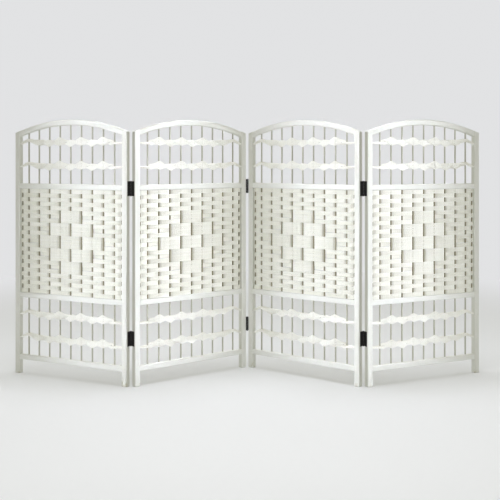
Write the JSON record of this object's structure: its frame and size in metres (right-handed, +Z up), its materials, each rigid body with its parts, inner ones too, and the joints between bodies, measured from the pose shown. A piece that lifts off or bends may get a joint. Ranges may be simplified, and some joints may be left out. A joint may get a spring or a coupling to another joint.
{
  "type": "folding screen",
  "caption": "Hinged folding screen of arched wooden frames filled with upright rods, a cord weave with a block diamond in the middle, and twined cord bands in open zones above and below.",
  "frame": {"origin": "on the floor under the middle of the screen's box as it stands in its zig-zag", "axes": "+X along the screen from its first panel to its last, +Y to the back, +Z up"},
  "size_m": [1.7312, 0.331, 0.94],
  "materials": {
    "painted_wood": "satin",
    "bare_wood": "matte",
    "painted_rod": "satin",
    "woven_cord": "matte",
    "twined_cord": "matte",
    "black_hinge": "satin",
    "hinge_steel": "satin"
  },
  "bodies": {
    "panel_1": {"panel_1_left_stile": "painted_wood", "panel_1_right_stile": "painted_wood", "panel_1_arch_rail": "painted_wood", "panel_1_upper_rail": "painted_wood", "panel_1_lower_rail": "painted_wood", "panel_1_bottom_rail": "painted_wood", "panel_1_dowels": "bare_wood", "panel_1_rods": "painted_rod", "panel_1_weave": "woven_cord", "panel_1_top_bands": "twined_cord", "panel_1_bottom_bands": "twined_cord", "panel_1_right_hinge_leaves": "black_hinge", "panel_1_right_hinge_pins": "hinge_steel", "panel_1_hinge_screws": "black_hinge"},
    "panel_2": {"panel_2_left_stile": "painted_wood", "panel_2_right_stile": "painted_wood", "panel_2_arch_rail": "painted_wood", "panel_2_upper_rail": "painted_wood", "panel_2_lower_rail": "painted_wood", "panel_2_bottom_rail": "painted_wood", "panel_2_dowels": "bare_wood", "panel_2_rods": "painted_rod", "panel_2_weave": "woven_cord", "panel_2_top_bands": "twined_cord", "panel_2_bottom_bands": "twined_cord", "panel_2_left_hinge_leaves": "black_hinge", "panel_2_right_hinge_leaves": "black_hinge", "panel_2_right_hinge_pins": "hinge_steel", "panel_2_hinge_screws": "black_hinge"},
    "panel_3": {"panel_3_left_stile": "painted_wood", "panel_3_right_stile": "painted_wood", "panel_3_arch_rail": "painted_wood", "panel_3_upper_rail": "painted_wood", "panel_3_lower_rail": "painted_wood", "panel_3_bottom_rail": "painted_wood", "panel_3_dowels": "bare_wood", "panel_3_rods": "painted_rod", "panel_3_weave": "woven_cord", "panel_3_top_bands": "twined_cord", "panel_3_bottom_bands": "twined_cord", "panel_3_left_hinge_leaves": "black_hinge", "panel_3_right_hinge_leaves": "black_hinge", "panel_3_right_hinge_pins": "hinge_steel", "panel_3_hinge_screws": "black_hinge"},
    "panel_4": {"panel_4_left_stile": "painted_wood", "panel_4_right_stile": "painted_wood", "panel_4_arch_rail": "painted_wood", "panel_4_upper_rail": "painted_wood", "panel_4_lower_rail": "painted_wood", "panel_4_bottom_rail": "painted_wood", "panel_4_dowels": "bare_wood", "panel_4_rods": "painted_rod", "panel_4_weave": "woven_cord", "panel_4_top_bands": "twined_cord", "panel_4_bottom_bands": "twined_cord", "panel_4_left_hinge_leaves": "black_hinge", "panel_4_hinge_screws": "black_hinge"}
  },
  "joints": [
    {"name": "left_fold", "type": "hinge", "parent": "panel_2", "child": "panel_1", "pos_m": [-0.40857, -0.14744, 0], "axis": [0, 0, 1], "range_deg": [-114, 66]},
    {"name": "middle_fold", "type": "hinge", "parent": "panel_2", "child": "panel_3", "pos_m": [0, 0.15047, 0], "axis": [0, 0, 1], "range_deg": [-102, 78]},
    {"name": "right_fold", "type": "hinge", "parent": "panel_3", "child": "panel_4", "pos_m": [0.40857, -0.14744, 0], "axis": [0, 0, 1], "range_deg": [-66, 114]}
  ]
}
